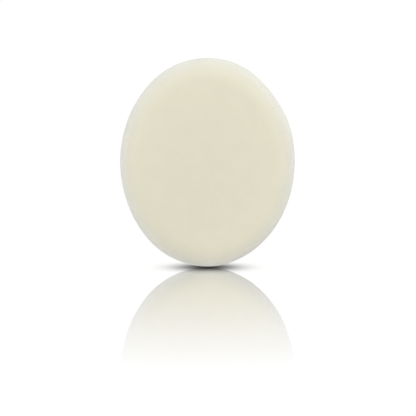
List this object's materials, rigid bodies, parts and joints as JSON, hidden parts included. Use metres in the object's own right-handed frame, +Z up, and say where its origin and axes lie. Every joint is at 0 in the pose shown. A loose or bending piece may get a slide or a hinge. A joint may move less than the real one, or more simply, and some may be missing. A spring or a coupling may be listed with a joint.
{
  "type": "makeup sponge",
  "caption": "Oval foam pad for applying makeup: a dense smooth skin on each face of an open-celled foam core, with a ground, rounded rim, squeezable through its thickness.",
  "frame": {"origin": "middle of the flat foot on the lower rim, on the surface that the sponge stands on", "axes": "+Z up along the oval's long axis, X across its width, -Y out of the front face, so +Y runs through the thickness from front to back"},
  "size_m": [0.0502, 0.012, 0.06],
  "materials": {
    "skin_foam": "matte",
    "core_foam": "matte"
  },
  "bodies": {
    "pad": {"foam_core": "core_foam", "back_skin": "skin_foam"},
    "front": {"front_skin": "skin_foam"}
  },
  "joints": [
    {"name": "squeeze", "type": "slide", "parent": "pad", "child": "front", "axis": [0, 1, 0], "range_m": [0, 0.0055], "stiffness_N_per_m": 4000, "deforming": ["foam_core"]}
  ]
}
